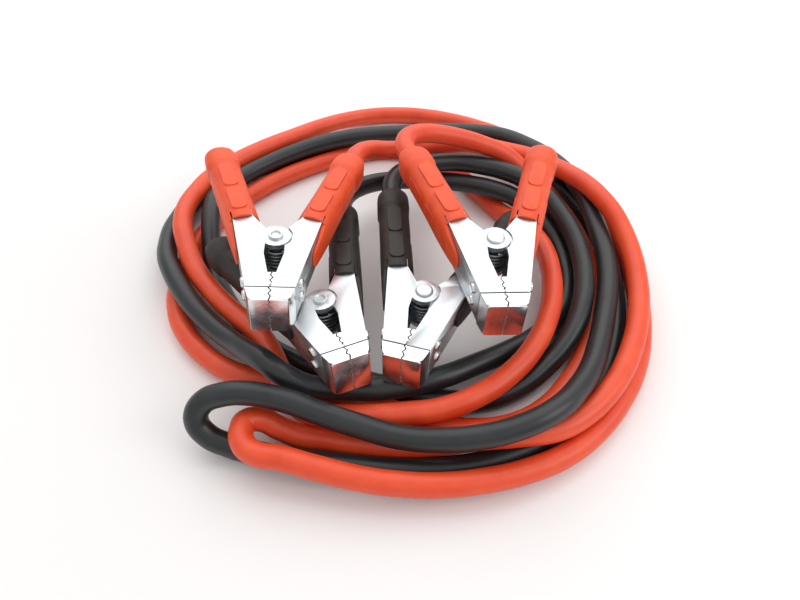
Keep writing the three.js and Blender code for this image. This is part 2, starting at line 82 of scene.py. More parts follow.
def make_material(
    name, dark, light, rough, metallic, mottle, grain, bump, stretch=(1, 1, 1), coat=0,
):
    """Colour and roughness vary with a broad noise, and a fine one gives the surface its grain.
    mottle and grain count waves in a metre: 60 gives patches of 17 mm and 2600 a grain of 0.4 mm.
    """
    material = bpy.data.materials.new(name)
    material.use_nodes = True
    tree = material.node_tree
    shader = tree.nodes["Principled BSDF"]
    place = add_node(tree, "ShaderNodeTexCoord").outputs["Object"]
    mapped = add_node(tree, "ShaderNodeMapping", [(place, "Vector")], Scale=stretch)
    mapped = mapped.outputs["Vector"]
    broad = add_node(
        tree, "ShaderNodeTexNoise", [(mapped, "Vector")], Scale=mottle, Detail=5.0, Roughness=0.6,
    ).outputs["Fac"]
    fine = add_node(
        tree, "ShaderNodeTexNoise", [(mapped, "Vector")], Scale=grain, Detail=3.0, Roughness=0.55,
    ).outputs["Fac"]
    tree.links.new(ramp(tree, broad, 0.3, rgb(dark), 0.7, rgb(light)), shader.inputs["Base Color"])
    roughness = ramp(tree, broad, 0.25, grey(rough[0]), 0.75, grey(rough[1]))
    tree.links.new(roughness, shader.inputs["Roughness"])
    relief = add_node(
        tree, "ShaderNodeBump", [(fine, "Height")], Strength=bump, Distance=0.0002,
    ).outputs["Normal"]
    tree.links.new(relief, shader.inputs["Normal"])
    shader.inputs["Metallic"].default_value = metallic
    shader.inputs["Coat Weight"].default_value = coat
    shader.inputs["Coat Roughness"].default_value = 0.3
    return material


# Extruded PVC sheath: smooth, with a soft broad sheen from the die
red_sheath = make_material(
    "red PVC sheath", "E4441F", "F0562C", (0.36, 0.5), 0, 60, 2600, 0.05, coat=0.1,
)
black_sheath = make_material(
    "black PVC sheath", "1B1D1F", "26292B", (0.34, 0.46), 0, 60, 2600, 0.06, coat=0.12,
)
# Moulded PVC grips: duller than the sheath, with the fine grain of the mould
red_grip = make_material(
    "red moulded PVC", "E6491F", "F25C2E", (0.42, 0.58), 0, 120, 1800, 0.14,
)
black_grip = make_material(
    "black moulded PVC", "1F1C1A", "332F2B", (0.5, 0.68), 0, 160, 1800, 0.2,
)
# Zinc-plated pressings: bright and slightly blurred, with faint streaks along the plate
plated_steel = make_material(
    "zinc-plated steel", "C6CCCF", "E3E8EA", (0.32, 0.48), 1, 70, 900, 0.05, stretch=(1, 0.35, 1),
)
# Nickel-plated jaw inserts and the rivets beside them: close to a mirror, a little uneven
bright_insert = make_material(
    "nickel-plated steel", "DEDFE0", "F2F3F3", (0.14, 0.3), 1, 160, 500, 0.12,
)
# Drawn spring wire: darker than the plates, with narrow highlights along the coils
spring_steel = make_material(
    "spring steel wire", "6F7375", "A6AAAC", (0.26, 0.42), 1, 200, 1500, 0.08,
)
# Bare steel deep in a gap, coloured near black: painted shade, where little light comes
painted_shade_steel = make_material(
    "steel darkened with painted shade in a gap", "17181A", "242628", (0.5, 0.7), 0.6, 200, 900, 0.05,
)

# Camera at the photograph's angle
CAMERA_PLACE = Vector((0.0024, -0.2965, 0.292))
CAMERA_TARGET = Vector((0.0024, -0.0335, 0))
CAMERA_LENS = 29.25
camera_data = bpy.data.cameras.new("camera")
camera_data.lens = CAMERA_LENS
camera_data.sensor_width = 36
camera_data.clip_start = 0.01
camera = bpy.data.objects.new("camera", camera_data)
camera.location = CAMERA_PLACE
look = CAMERA_TARGET - CAMERA_PLACE
camera.rotation_euler = look.to_track_quat("-Z", "Y").to_euler()
scene.collection.objects.link(camera)
scene.camera = camera
scene.view_settings.view_transform = "Standard"

# Plain white floor, just under the cables
FLOOR_SIZE = 6
FLOOR_LEVEL = -0.0002
bpy.ops.object.select_all(action="DESELECT")
bpy.ops.mesh.primitive_plane_add(size=FLOOR_SIZE, location=(0, 0, FLOOR_LEVEL))
floor = bpy.context.object
floor.name = "floor"
floor_material = bpy.data.materials.new("white paper")
floor_material.use_nodes = True
paper = floor_material.node_tree.nodes["Principled BSDF"]
paper.inputs["Base Color"].default_value = rgb("F4F2F1")
paper.inputs["Roughness"].default_value = 0.9
floor.data.materials.append(floor_material)

# Soft studio light: a bright sky, a broad lamp behind and a small one from the right
world = bpy.data.worlds.new("studio")
scene.world = world
world.use_nodes = True
sky = world.node_tree
direction = add_node(sky, "ShaderNodeTexCoord").outputs["Generated"]
height = add_node(sky, "ShaderNodeSeparateXYZ", [(direction, "Vector")]).outputs["Z"]
sky_colour = ramp(sky, height, 0.02, grey(0.42), 0.55, grey(0.95))
sky.nodes["Background"].inputs["Strength"].default_value = 0.85
sky.links.new(sky_colour, sky.nodes["Background"].inputs["Color"])


def add_lamp(name, place, target, size, power):
    data = bpy.data.lights.new(name, "AREA")
    data.shape = "SQUARE"
    data.size = size
    data.energy = power
    lamp = bpy.data.objects.new(name, data)
    lamp.location = place
    lamp.rotation_euler = (Vector(target) - Vector(place)).to_track_quat("-Z", "Y").to_euler()
    scene.collection.objects.link(lamp)


add_lamp("key lamp", (0, 1.05, 1.3), (0, 0, 0), 2.4, 19)
add_lamp("side lamp", (1.1, -0.35, 0.8), (0, 0, 0), 0.7, 4)


# Cables: the same points as in the CAD part, on one smooth line each
def tube_curve(name, points, radius, smoothness, roundness):
    curve = bpy.data.curves.new(name, "CURVE")
    curve.dimensions = "3D"
    curve.bevel_depth = radius
    curve.bevel_resolution = roundness
    curve.resolution_u = smoothness
    curve.use_fill_caps = True
    spline = curve.splines.new("BEZIER" if smoothness > 1 else "POLY")
    if smoothness > 1:
        spline.bezier_points.add(len(points) - 1)
        for knot, place in zip(spline.bezier_points, points):
            knot.co = place
        for knot in spline.bezier_points:
            knot.handle_left_type = "AUTO"
            knot.handle_right_type = "AUTO"
    else:
        spline.points.add(len(points) - 1)
        for knot, place in zip(spline.points, points):
            knot.co = (*place, 1)
    spline.use_smooth = True
    made = bpy.data.objects.new(name, curve)
    scene.collection.objects.link(made)
    return made


def lay_cable(colour, route, material):
    cable = tube_curve(colour + "_cable_sheath", route, CABLE_DIAMETER / 2, 6, 7)
    cable.data.materials.append(material)
    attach(cable, "coil")
    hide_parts(colour + "_cable")


# From the middle of one clamp's grip to the other's, in metres
CABLE_DIAMETER = 0.012
RED_ROUTE = [
    (-0.0296, 0.0191, 0.054), (-0.0265, 0.0307, 0.0534), (-0.0239, 0.0398, 0.053),
    (-0.0171, 0.0485, 0.0503), (-0.0062, 0.0545, 0.046), (0.0067, 0.0625, 0.041),
    (0.0208, 0.074, 0.035), (0.0391, 0.0858, 0.029), (0.0584, 0.0925, 0.0235),
    (0.0779, 0.0905, 0.0205), (0.0924, 0.082, 0.022), (0.1049, 0.067, 0.0255),
    (0.1139, 0.052, 0.0295), (0.1224, 0.0375, 0.0315), (0.1289, 0.025, 0.031),
    (0.1344, 0.0145, 0.0285), (0.1389, 0.001, 0.0245), (0.1414, -0.0165, 0.0205),
    (0.1404, -0.0355, 0.0185), (0.1374, -0.052, 0.018), (0.1314, -0.071, 0.018),
    (0.1234, -0.0885, 0.018), (0.1159, -0.101, 0.018), (0.1064, -0.113, 0.018),
    (0.0939, -0.1245, 0.018), (0.0784, -0.1335, 0.0185), (0.0599, -0.137, 0.019),
    (0.0399, -0.1375, 0.0165), (0.0224, -0.1375, 0.012), (0.0024, -0.137, 0.0075),
    (-0.0181, -0.1345, 0.006), (-0.0351, -0.132, 0.006), (-0.0476, -0.1302, 0.0065),
    (-0.0576, -0.128, 0.0105), (-0.0656, -0.1265, 0.0155), (-0.0726, -0.1295, 0.0185),
    (-0.0736, -0.1325, 0.0187), (-0.0721, -0.141, 0.0187), (-0.0646, -0.147, 0.0187),
    (-0.0536, -0.149, 0.0187), (-0.0381, -0.153, 0.0175), (-0.0176, -0.1575, 0.0155),
    (0.0024, -0.1595, 0.0135), (0.0224, -0.1595, 0.0125), (0.0419, -0.157, 0.012),
    (0.0629, -0.151, 0.01), (0.0829, -0.1415, 0.008), (0.1024, -0.126, 0.0065),
    (0.1174, -0.1085, 0.006), (0.1294, -0.089, 0.006), (0.1389, -0.0635, 0.006),
    (0.1439, -0.035, 0.006), (0.1454, -0.005, 0.006), (0.1424, 0.0285, 0.006),
    (0.1329, 0.06, 0.006), (0.1184, 0.0875, 0.006), (0.0999, 0.1125, 0.006),
    (0.0824, 0.1285, 0.006), (0.0624, 0.1415, 0.006), (0.0424, 0.151, 0.006),
    (0.0224, 0.157, 0.006), (0.0024, 0.1595, 0.006), (-0.0176, 0.1575, 0.0065),
    (-0.0366, 0.15, 0.008), (-0.0571, 0.1355, 0.011), (-0.0751, 0.1175, 0.0145),
    (-0.0946, 0.0975, 0.018), (-0.1141, 0.0775, 0.019), (-0.1276, 0.059, 0.019),
    (-0.1326, 0.046, 0.019), (-0.1356, 0.031, 0.02), (-0.1341, 0.0125, 0.021),
    (-0.1281, -0.0055, 0.0205), (-0.1191, -0.0245, 0.0195), (-0.1081, -0.04, 0.019),
    (-0.0926, -0.057, 0.0185), (-0.0736, -0.075, 0.0185), (-0.0661, -0.0865, 0.0185),
    (-0.0601, -0.0985, 0.0183), (-0.0551, -0.1088, 0.0138), (-0.0481, -0.117, 0.0112),
    (-0.0376, -0.122, 0.012), (-0.0266, -0.124, 0.0145), (-0.0106, -0.1255, 0.017),
    (0.0044, -0.125, 0.0185), (0.0214, -0.123, 0.019), (0.0409, -0.115, 0.019),
    (0.0599, -0.1005, 0.019), (0.0739, -0.0835, 0.019), (0.0839, -0.064, 0.019),
    (0.0894, -0.045, 0.019), (0.0914, -0.025, 0.0185), (0.0904, -0.006, 0.017),
    (0.0874, 0.007, 0.015), (0.0814, 0.0225, 0.011), (0.0739, 0.035, 0.0075),
    (0.0684, 0.0435, 0.006), (0.0599, 0.057, 0.006), (0.0509, 0.0715, 0.006),
    (0.0404, 0.086, 0.006), (0.0269, 0.1005, 0.006), (0.0119, 0.1085, 0.006),
    (-0.0031, 0.1115, 0.006), (-0.0176, 0.11, 0.006), (-0.0426, 0.102, 0.006),
    (-0.0576, 0.0945, 0.006), (-0.0776, 0.0815, 0.006), (-0.0971, 0.064, 0.006),
    (-0.1101, 0.0475, 0.006), (-0.1186, 0.033, 0.006), (-0.1256, 0.0165, 0.006),
    (-0.1286, 0.003, 0.006), (-0.1306, -0.009, 0.006), (-0.1311, -0.027, 0.006),
    (-0.1281, -0.045, 0.006), (-0.1191, -0.0635, 0.006), (-0.1036, -0.0805, 0.006),
    (-0.0876, -0.091, 0.006), (-0.0706, -0.096, 0.006), (-0.0561, -0.0985, 0.006),
    (-0.0396, -0.1035, 0.006), (-0.0286, -0.107, 0.006), (-0.0156, -0.111, 0.006),
    (0.0024, -0.117, 0.006), (0.0229, -0.124, 0.006), (0.0429, -0.1265, 0.006),
    (0.0624, -0.1225, 0.006), (0.0784, -0.113, 0.006), (0.0914, -0.099, 0.006),
    (0.1019, -0.0835, 0.006), (0.1099, -0.063, 0.006), (0.1159, -0.0385, 0.006),
    (0.1189, -0.014, 0.006), (0.1184, 0.006, 0.006), (0.1159, 0.022, 0.006),
    (0.1124, 0.0345, 0.007), (0.1059, 0.0475, 0.0095), (0.0979, 0.058, 0.0145),
    (0.0869, 0.065, 0.0215), (0.0724, 0.0685, 0.033), (0.0554, 0.0675, 0.042),
    (0.0408, 0.064, 0.049), (0.0281, 0.0605, 0.054), (0.0174, 0.0555, 0.058),
    (0.0099, 0.049, 0.061), (0.0059, 0.0415, 0.0625), (0.0056, 0.0333, 0.0627),
    (0.0082, 0.0257, 0.0624), (0.0123, 0.0145, 0.0619),
]
BLACK_ROUTE = [
    (-0.0321, 0.0023, 0.0288), (-0.0332, 0.0142, 0.0277), (-0.0339, 0.023, 0.0269),
    (-0.0319, 0.033, 0.026), (-0.025, 0.0431, 0.0245), (-0.0139, 0.0515, 0.0225),
    (-0.0011, 0.0565, 0.0205), (0.0169, 0.058, 0.0195), (0.0354, 0.0565, 0.0195),
    (0.0504, 0.0535, 0.0195), (0.0644, 0.049, 0.019), (0.0789, 0.0425, 0.017),
    (0.0909, 0.033, 0.013), (0.0999, 0.018, 0.009), (0.1044, 0.002, 0.0065),
    (0.1044, -0.018, 0.006), (0.0999, -0.0385, 0.006), (0.0924, -0.0525, 0.006),
    (0.0819, -0.0645, 0.0065), (0.0649, -0.077, 0.0085), (0.0429, -0.091, 0.013),
    (0.0224, -0.103, 0.0175), (0.0024, -0.109, 0.0185), (-0.0116, -0.1105, 0.0185),
    (-0.0266, -0.111, 0.0197), (-0.0376, -0.1115, 0.0207), (-0.0461, -0.1108, 0.023),
    (-0.0556, -0.109, 0.029), (-0.0646, -0.1025, 0.0305), (-0.0746, -0.0935, 0.0265),
    (-0.0866, -0.0815, 0.0205), (-0.1021, -0.067, 0.0185), (-0.1181, -0.049, 0.019),
    (-0.1336, -0.0245, 0.0185), (-0.1391, -0.012, 0.0165), (-0.1426, 0.0025, 0.0135),
    (-0.1451, 0.021, 0.0095), (-0.1446, 0.0315, 0.0075), (-0.1416, 0.046, 0.0065),
    (-0.1331, 0.062, 0.006), (-0.1186, 0.077, 0.006), (-0.0966, 0.0915, 0.006),
    (-0.0746, 0.103, 0.006), (-0.0531, 0.113, 0.006), (-0.0371, 0.119, 0.006),
    (-0.0176, 0.124, 0.006), (0.0024, 0.1265, 0.006), (0.0269, 0.127, 0.006),
    (0.0469, 0.124, 0.006), (0.0639, 0.1185, 0.006), (0.0799, 0.1085, 0.006),
    (0.0944, 0.096, 0.006), (0.1069, 0.0805, 0.006), (0.1169, 0.0635, 0.006),
    (0.1249, 0.045, 0.006), (0.1294, 0.0285, 0.006), (0.1319, 0.0115, 0.006),
    (0.1324, -0.0135, 0.006), (0.1304, -0.033, 0.006), (0.1264, -0.054, 0.006),
    (0.1189, -0.0765, 0.006), (0.1094, -0.0965, 0.006), (0.0969, -0.113, 0.006),
    (0.0804, -0.1275, 0.006), (0.0619, -0.138, 0.006), (0.0424, -0.145, 0.006),
    (0.0224, -0.148, 0.006), (0.0024, -0.1485, 0.006), (-0.0171, -0.147, 0.006),
    (-0.0331, -0.145, 0.006), (-0.0531, -0.1425, 0.006), (-0.0676, -0.1395, 0.006),
    (-0.0816, -0.136, 0.0075), (-0.0916, -0.133, 0.0115), (-0.0966, -0.1285, 0.0185),
    (-0.0931, -0.124, 0.026), (-0.0831, -0.122, 0.0305), (-0.0701, -0.122, 0.0317),
    (-0.0536, -0.1248, 0.0305), (-0.0356, -0.13, 0.027), (-0.0161, -0.1348, 0.023),
    (0.0019, -0.1395, 0.0215), (0.0214, -0.143, 0.0245), (0.0389, -0.1435, 0.028),
    (0.0564, -0.1405, 0.031), (0.0759, -0.1305, 0.031), (0.0904, -0.115, 0.0265),
    (0.1004, -0.0995, 0.0225), (0.1079, -0.083, 0.0195), (0.1149, -0.0645, 0.018),
    (0.1209, -0.0455, 0.018), (0.1254, -0.025, 0.018), (0.1269, -0.007, 0.018),
    (0.1264, 0.016, 0.018), (0.1244, 0.039, 0.019), (0.1209, 0.0555, 0.019),
    (0.1149, 0.0715, 0.019), (0.1059, 0.087, 0.0185), (0.0934, 0.1, 0.0185), (0.0784, 0.11, 0.019),
    (0.0594, 0.116, 0.0185), (0.0409, 0.1175, 0.0185), (0.0219, 0.117, 0.0185),
    (0.0029, 0.115, 0.0185), (-0.0171, 0.113, 0.0185), (-0.0356, 0.11, 0.018),
    (-0.0551, 0.104, 0.017), (-0.0746, 0.094, 0.016), (-0.0956, 0.079, 0.015),
    (-0.1056, 0.068, 0.0155), (-0.1146, 0.0535, 0.017), (-0.1191, 0.0385, 0.019),
    (-0.1191, 0.0265, 0.0185), (-0.1176, 0.013, 0.0155), (-0.1151, -0.002, 0.0105),
    (-0.1111, -0.017, 0.0075), (-0.1026, -0.035, 0.006), (-0.0896, -0.054, 0.006),
    (-0.0741, -0.071, 0.006), (-0.0571, -0.0825, 0.006), (-0.0376, -0.0905, 0.006),
    (-0.0171, -0.097, 0.006), (0.0019, -0.1025, 0.006), (0.0224, -0.1085, 0.006),
    (0.0424, -0.1095, 0.006), (0.0629, -0.1025, 0.0065), (0.0824, -0.0875, 0.0095),
    (0.0919, -0.0775, 0.0125), (0.0999, -0.065, 0.0155), (0.1054, -0.0515, 0.0175),
    (0.1089, -0.039, 0.018), (0.1114, -0.014, 0.0185), (0.1094, 0.007, 0.0195),
    (0.1049, 0.021, 0.021), (0.0974, 0.035, 0.024), (0.0854, 0.048, 0.027),
    (0.0709, 0.0565, 0.0285), (0.0574, 0.0605, 0.0295), (0.0434, 0.062, 0.031),
    (0.0312, 0.06, 0.0328), (0.0187, 0.0555, 0.0343), (0.0084, 0.049, 0.0355),
    (0.0004, 0.04, 0.0365), (-0.0029, 0.03, 0.0368), (-0.0024, 0.0193, 0.037),
    (-0.0018, 0.0073, 0.0369),
]
lay_cable("red", RED_ROUTE, red_sheath)
lay_cable("black", BLACK_ROUTE, black_sheath)

# Where each clamp lies: its pivot in metres, its turns in degrees, and its kind of pivot rivet
CLAMPS = [
    {
        "name": "red_clamp_left",
        "colour": "red",
        "cable_side": 1,
        "moving": "red_jaw_left",
        "pivot": (-0.0605, -0.0519, 0.0693),
        "turns": (3.2, -1, 5.5),
        "hollow": True,
    },
    {
        "name": "red_clamp_right",
        "colour": "red",
        "cable_side": -1,
        "moving": "red_jaw_right",
        "pivot": (0.0506, -0.0541, 0.0697),
        "turns": (1.8, 2.1, 0.6),
        "hollow": False,
    },
    {
        "name": "black_clamp_left",
        "colour": "black",
        "cable_side": 1,
        "moving": "black_jaw_left",
        "pivot": (-0.0382, -0.0745, 0.046),
        "turns": (23.3, -5.4, 0.3),
        "hollow": True,
    },
    {
        "name": "black_clamp_right",
        "colour": "black",
        "cable_side": -1,
        "moving": "black_jaw_right",
        "pivot": (0.0149, -0.0692, 0.0466),
        "turns": (-15.2, 0.2, 0.9),
        "hollow": False,
    },
]

# Sizes of a clamp in millimetres, measured from its pivot
CLAMP_DEPTH = 21
MID_DEPTH = -CLAMP_DEPTH / 2
MOUTH_CENTRE = (17.8, 13.3)
MOUTH_HALF_WIDTH = 5.4
HANDLE_ANGLE = math.radians(18)
TIP_LINE = -36.9
TIP_HALF_WIDTH = 11.8
NOSE_LINE = -44.6
FIT_GAP = 0.3
MOUTH_SETBACK = -1.5
NEAR = 0.05

# Grip, in millimetres
GRIP_LENGTH = 71
GRIP_CORNER = 8
GRIP_EDGE = 0.45
CAVITY_LENGTH = 40.5
CAVITY_END = 5.5
SLANT_THICKNESS = 6
SLANT_LENGTH = 40
BORE_RADIUS = 6.35
BORE_START = 57
OUTER_FLAP = {"length": 20, "half_height": 9.4, "end_half_height": 4.6}
INNER_FLAP = {"length": 8, "half_height": 6.5, "end_half_height": 5}
PANEL_THICKNESS = 1
PANEL_WIDTH_ON_TOP = 8.2
PANEL_WIDTH_ON_SIDE = 9.4
PANEL_STEP_ON_TOP = 0.65
PANEL_STEP_ELSEWHERE = 0.15
PANELS = [
    # place along the grip, length, half height and half width of the grip there, taper in degrees
    (15.5, 20, 11.62, 8.72, 3.6),
    (38.5, 22, 10.45, 8.6, 1.9),
]
GRIP_STATIONS = [
    # place along the grip, half width, half height
    (-22, 8.3, 12.4),
    (0, 8.8, 12.3),
    (9, 8.8, 12.1),
    (23, 8.6, 11.1),
    (40, 8.6, 10.4),
    (52.2, 8.7, 10.2),
    (53.2, 9.3, 10.7),
    (54.5, 9.5, 10.8),
    (61, 9.45, 10.5),
    (64, 9.2, 10.1),
    (66.5, 8.6, 9.3),
    (68.5, 7.6, 8.2),
    (70, 6, 6.4),
    (70.8, 4, 4.3),
    (71, 2, 2.2),
]

# Softened edges, insert front, rivets and spring, in millimetres
BENT_CORNER = 1.1
PRESSED_EDGE = 0.18
TIP_STEP = 0.9
INSERT_EDGE = 0.4
FRONT_INNER = 0.3
FRONT_OUTER = 9.4
FRONT_LIP = 0.35
FRONT_CORNER = 1.3
FRONT_START = NOSE_LINE + 0.2
FRONT_THICKNESS = 0.8
FRONT_TEETH = 14
FRONT_TOOTH_DEPTH = 0.55
# The near-black block in the gap at the plates' tip, painted shade
PAINTED_SHADE_INNER = 0.5
PAINTED_SHADE_OUTER = 11.6
PAINTED_SHADE_LENGTH = 1.3
PIVOT_RADIUS = 2.9
PIVOT_HEAD_HEIGHT = 1.3
HOLLOW_HEAD_RADIUS = 3.6
DOMED_HEAD_RADIUS = 4.7
JAW_RIVET_ALONG = -28
JAW_RIVET_OFFSET = 4.5
JAW_RIVET_RADIUS = 2.8
JAW_RIVET_HEIGHT = 1.4
SPRING_RADIUS = 7.6
SPRING_TURNS = 5
SPRING_PITCH = 2.55
SPRING_LEG = 20
SPRING_STEPS_PER_TURN = 24
SPRING_WIRE_RADIUS = 0.0009


# Selecting and modelling helpers
def deselect():
    if bpy.context.object and bpy.context.object.mode != "OBJECT":
        bpy.ops.object.mode_set(mode="OBJECT")
    bpy.ops.object.select_all(action="DESELECT")


def choose(*objects):
    deselect()
    for piece in objects:
        piece.select_set(True)
    bpy.context.view_layer.objects.active = objects[0]


def pick(piece, kind, test):
    """Selects the piece's vertices, edges or faces that pass a test, and starts edit mode."""
    choose(piece)
    mesh = piece.data
    for group in (mesh.vertices, mesh.edges, mesh.polygons):
        group.foreach_set("select", [False] * len(group))
    if kind == "VERT":
        for vertex in mesh.vertices:
            vertex.select = test(vertex.co)
    elif kind == "EDGE":
        for edge in mesh.edges:
            first, second = (mesh.vertices[i].co for i in edge.vertices)
            edge.select = test(first, second)
    else:
        for face in mesh.polygons:
            face.select = test(face.center, face.normal)
    bpy.context.tool_settings.mesh_select_mode = (kind == "VERT", kind == "EDGE", kind == "FACE")
    bpy.ops.object.mode_set(mode="EDIT")


def leave_edit():
    bpy.ops.object.mode_set(mode="OBJECT")


def tidy(piece):
    """Merges doubled points and turns the faces outwards."""
    pick(piece, "VERT", lambda place: True)
    bpy.ops.mesh.remove_doubles(threshold=0.001)
    bpy.ops.mesh.normals_make_consistent(inside=False)
    leave_edit()


def apply_modifier(piece, kind, **settings):
    choose(piece)
    modifier = piece.modifiers.new(kind.lower(), kind)
    for key, value in settings.items():
        setattr(modifier, key, value)
    bpy.ops.object.modifier_apply(modifier=modifier.name)


def cut(piece, tool):
    apply_modifier(piece, "BOOLEAN", object=tool, operation="DIFFERENCE", solver="EXACT")
    bpy.data.objects.remove(tool, do_unlink=True)


def block(centre, size, turn=(0, 0, 0)):
    deselect()
    bpy.ops.mesh.primitive_cube_add(size=1, location=centre, rotation=turn, scale=size)
    piece = bpy.context.object
    bpy.ops.object.transform_apply(location=True, rotation=True, scale=True)
    return piece


def copy_of(piece, name):
    mesh = piece.data.copy()
    mesh.name = name
    made = bpy.data.objects.new(name, mesh)
    bpy.context.collection.objects.link(made)
    return made


def smooth(piece, degrees):
    choose(piece)
    bpy.ops.object.shade_smooth_by_angle(angle=math.radians(degrees))


def finish_piece(piece, name, body, material, placing, replaced):
    """Puts a piece modelled in millimetres where its clamp lies."""
    piece.name = name
    piece.data.name = name
    piece.data.transform(placing)
    piece.data.materials.clear()
    piece.data.materials.append(material)
    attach(piece, body)
    for node in replaced:
        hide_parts(node)


# Places on a clamp
def clamp_placing(clamp):
    yaw, pitch, roll = (math.radians(angle) for angle in clamp["turns"])
    placing = Matrix.Translation(clamp["pivot"])
    placing = placing @ Matrix.Rotation(yaw, 4, "Z")
    placing = placing @ Matrix.Rotation(pitch, 4, "X")
    placing = placing @ Matrix.Rotation(roll, 4, "Y")
    return placing @ Matrix.Scale(0.001, 4)


def handle_placing(side):
    centre = Vector((side * MOUTH_CENTRE[0], MOUTH_CENTRE[1], MID_DEPTH))
    return Matrix.Translation(centre) @ Matrix.Rotation(-side * HANDLE_ANGLE, 4, "Z")


def along_handle(side, along, across):
    x = MOUTH_CENTRE[0] + along * math.sin(HANDLE_ANGLE) + across * math.cos(HANDLE_ANGLE)
    y = MOUTH_CENTRE[1] + along * math.cos(HANDLE_ANGLE) - across * math.sin(HANDLE_ANGLE)
    return side * x, y


def wall_slope():
    mouth_x, mouth_y = along_handle(1, MOUTH_SETBACK, MOUTH_HALF_WIDTH)
    return (mouth_x - TIP_HALF_WIDTH) / (mouth_y - TIP_LINE)


# Grips
def model_flap(side, start, length, half_height, end_half_height):
    """What stays of the grip beside the plates: a tongue with a rounded end."""
    deselect()
    bpy.ops.mesh.primitive_plane_add(size=2, location=(0, 0, 0), rotation=(0, math.pi / 2, 0))
    flap = bpy.context.object
    bpy.ops.object.transform_apply(location=True, rotation=True, scale=True)
    pick(flap, "VERT", lambda place: True)
    half = (length + 2) / 2
    bpy.ops.transform.resize(value=(1, half, half_height))
    bpy.ops.transform.translate(value=(start, 2 - half, 0))
    pick(flap, "VERT", lambda place: place.y < 0)
    bpy.ops.transform.resize(value=(1, 1, end_half_height / half_height))
    bpy.ops.mesh.bevel(offset=0.85 * end_half_height, segments=6, affect="VERTICES")
    pick(flap, "FACE", lambda centre, normal: True)
    bpy.ops.mesh.extrude_region_move(TRANSFORM_OT_translate={"value": (side * 30, 0, 0)})
    leave_edit()
    tidy(flap)
    return flap


def model_pad(length, width, height):
    """A low raised panel with rounded corners and a softened rim, lying on z = 0."""
    deselect()
    bpy.ops.mesh.primitive_plane_add(size=2, location=(0, 0, 0))
    pad = bpy.context.object
    pick(pad, "VERT", lambda place: True)
    bpy.ops.transform.resize(value=(width / 2, length / 2, 1))
    bpy.ops.mesh.bevel(offset=0.42 * width, segments=5, affect="VERTICES")
    pick(pad, "FACE", lambda centre, normal: True)
    bpy.ops.mesh.extrude_region_move(TRANSFORM_OT_translate={"value": (0, 0, height)})
    leave_edit()
    tidy(pad)
    pick(pad, "EDGE", lambda a, b: a.z > height - 0.01 and b.z > height - 0.01)
    bpy.ops.mesh.bevel(offset=0.3, segments=3)
    leave_edit()
    return pad


def model_grip(side, holds_cable):
    along, half_width, half_height = GRIP_STATIONS[0]
    deselect()
    bpy.ops.mesh.primitive_plane_add(size=2, location=(0, 0, 0), rotation=(math.pi / 2, 0, 0))
    grip = bpy.context.object
    bpy.ops.object.transform_apply(location=True, rotation=True, scale=True)
    pick(grip, "VERT", lambda place: True)
    bpy.ops.transform.resize(value=(half_width, 1, half_height))
    bpy.ops.transform.translate(value=(0, along, 0))
    bpy.ops.mesh.bevel(offset=GRIP_CORNER, segments=8, affect="VERTICES")
    pick(grip, "FACE", lambda centre, normal: True)
    for next_along, next_width, next_height in GRIP_STATIONS[1:]:
        bpy.ops.mesh.extrude_region_move(
            TRANSFORM_OT_translate={"value": (0, next_along - along, 0)}
        )
        bpy.ops.transform.resize(
            value=(next_width / half_width, 1, next_height / half_height),
            center_override=(0, next_along, 0),
        )
        along, half_width, half_height = next_along, next_width, next_height
    leave_edit()
    tidy(grip)

    # The hollow that takes the plates, wider beside the slanting outer wall
    inner = MOUTH_HALF_WIDTH + FIT_GAP
    deep = CLAMP_DEPTH + 2 * FIT_GAP
    centre = (0, CAVITY_END - CAVITY_LENGTH / 2, 0)
    cut(grip, block(centre, (2 * inner, CAVITY_LENGTH, deep)))
    slant = HANDLE_ANGLE - math.atan(wall_slope())
    back = Vector((side * math.sin(slant), -math.cos(slant), 0))
    out = Vector((side * math.cos(slant), math.sin(slant), 0))
    centre = Vector((side * inner, MOUTH_SETBACK, 0)) + SLANT_LENGTH / 2 * back
    centre -= SLANT_THICKNESS / 2 * out
    cut(grip, block(centre, (SLANT_THICKNESS, SLANT_LENGTH, deep), (0, 0, side * slant)))

    # Past the mouth only the two tongues stay
    past = block((0, -20, 0), (60, 40, 60))
    cut(past, model_flap(side, side * 4, **OUTER_FLAP))
    cut(past, model_flap(-side, -side * 4, **INNER_FLAP))
    cut(grip, past)
    if holds_cable:
        deselect()
        depth = 2 * (GRIP_LENGTH - 2 - BORE_START)
        bpy.ops.mesh.primitive_cylinder_add(
            vertices=48,
            radius=BORE_RADIUS,
            depth=depth,
            location=(0, BORE_START + depth / 2, 0),
            rotation=(math.pi / 2, 0, 0),
        )
        bore = bpy.context.object
        bpy.ops.object.transform_apply(location=True, rotation=True, scale=True)
        cut(grip, bore)
    apply_modifier(
        grip,
        "BEVEL",
        width=GRIP_EDGE,
        segments=2,
        limit_method="ANGLE",
        angle_limit=math.radians(48),
        use_clamp_overlap=True,
    )

    # Raised panels: two in line on the top, the bottom and each side
    pads = []
    for place, long, half_height, half_width, taper in PANELS:
        for turn in range(4):
            flat = turn % 2 == 0
            width = PANEL_WIDTH_ON_TOP if flat else PANEL_WIDTH_ON_SIDE
            pad = model_pad(long, width, PANEL_THICKNESS)
            reach = half_height if flat else half_width
            lean = -math.radians(taper) if flat else 0
            matrix = Matrix.Rotation(turn * math.pi / 2, 4, "Y")
            proud = PANEL_STEP_ON_TOP if turn == 0 else PANEL_STEP_ELSEWHERE
            matrix = matrix @ Matrix.Translation((0, place, reach + proud - PANEL_THICKNESS))
            pad.data.transform(matrix @ Matrix.Rotation(lean, 4, "X"))
            pads.append(pad)
    choose(grip, *pads)
    bpy.ops.object.join()
    tidy(grip)
    grip.data.transform(handle_placing(side))
    smooth(grip, 32)
    return grip


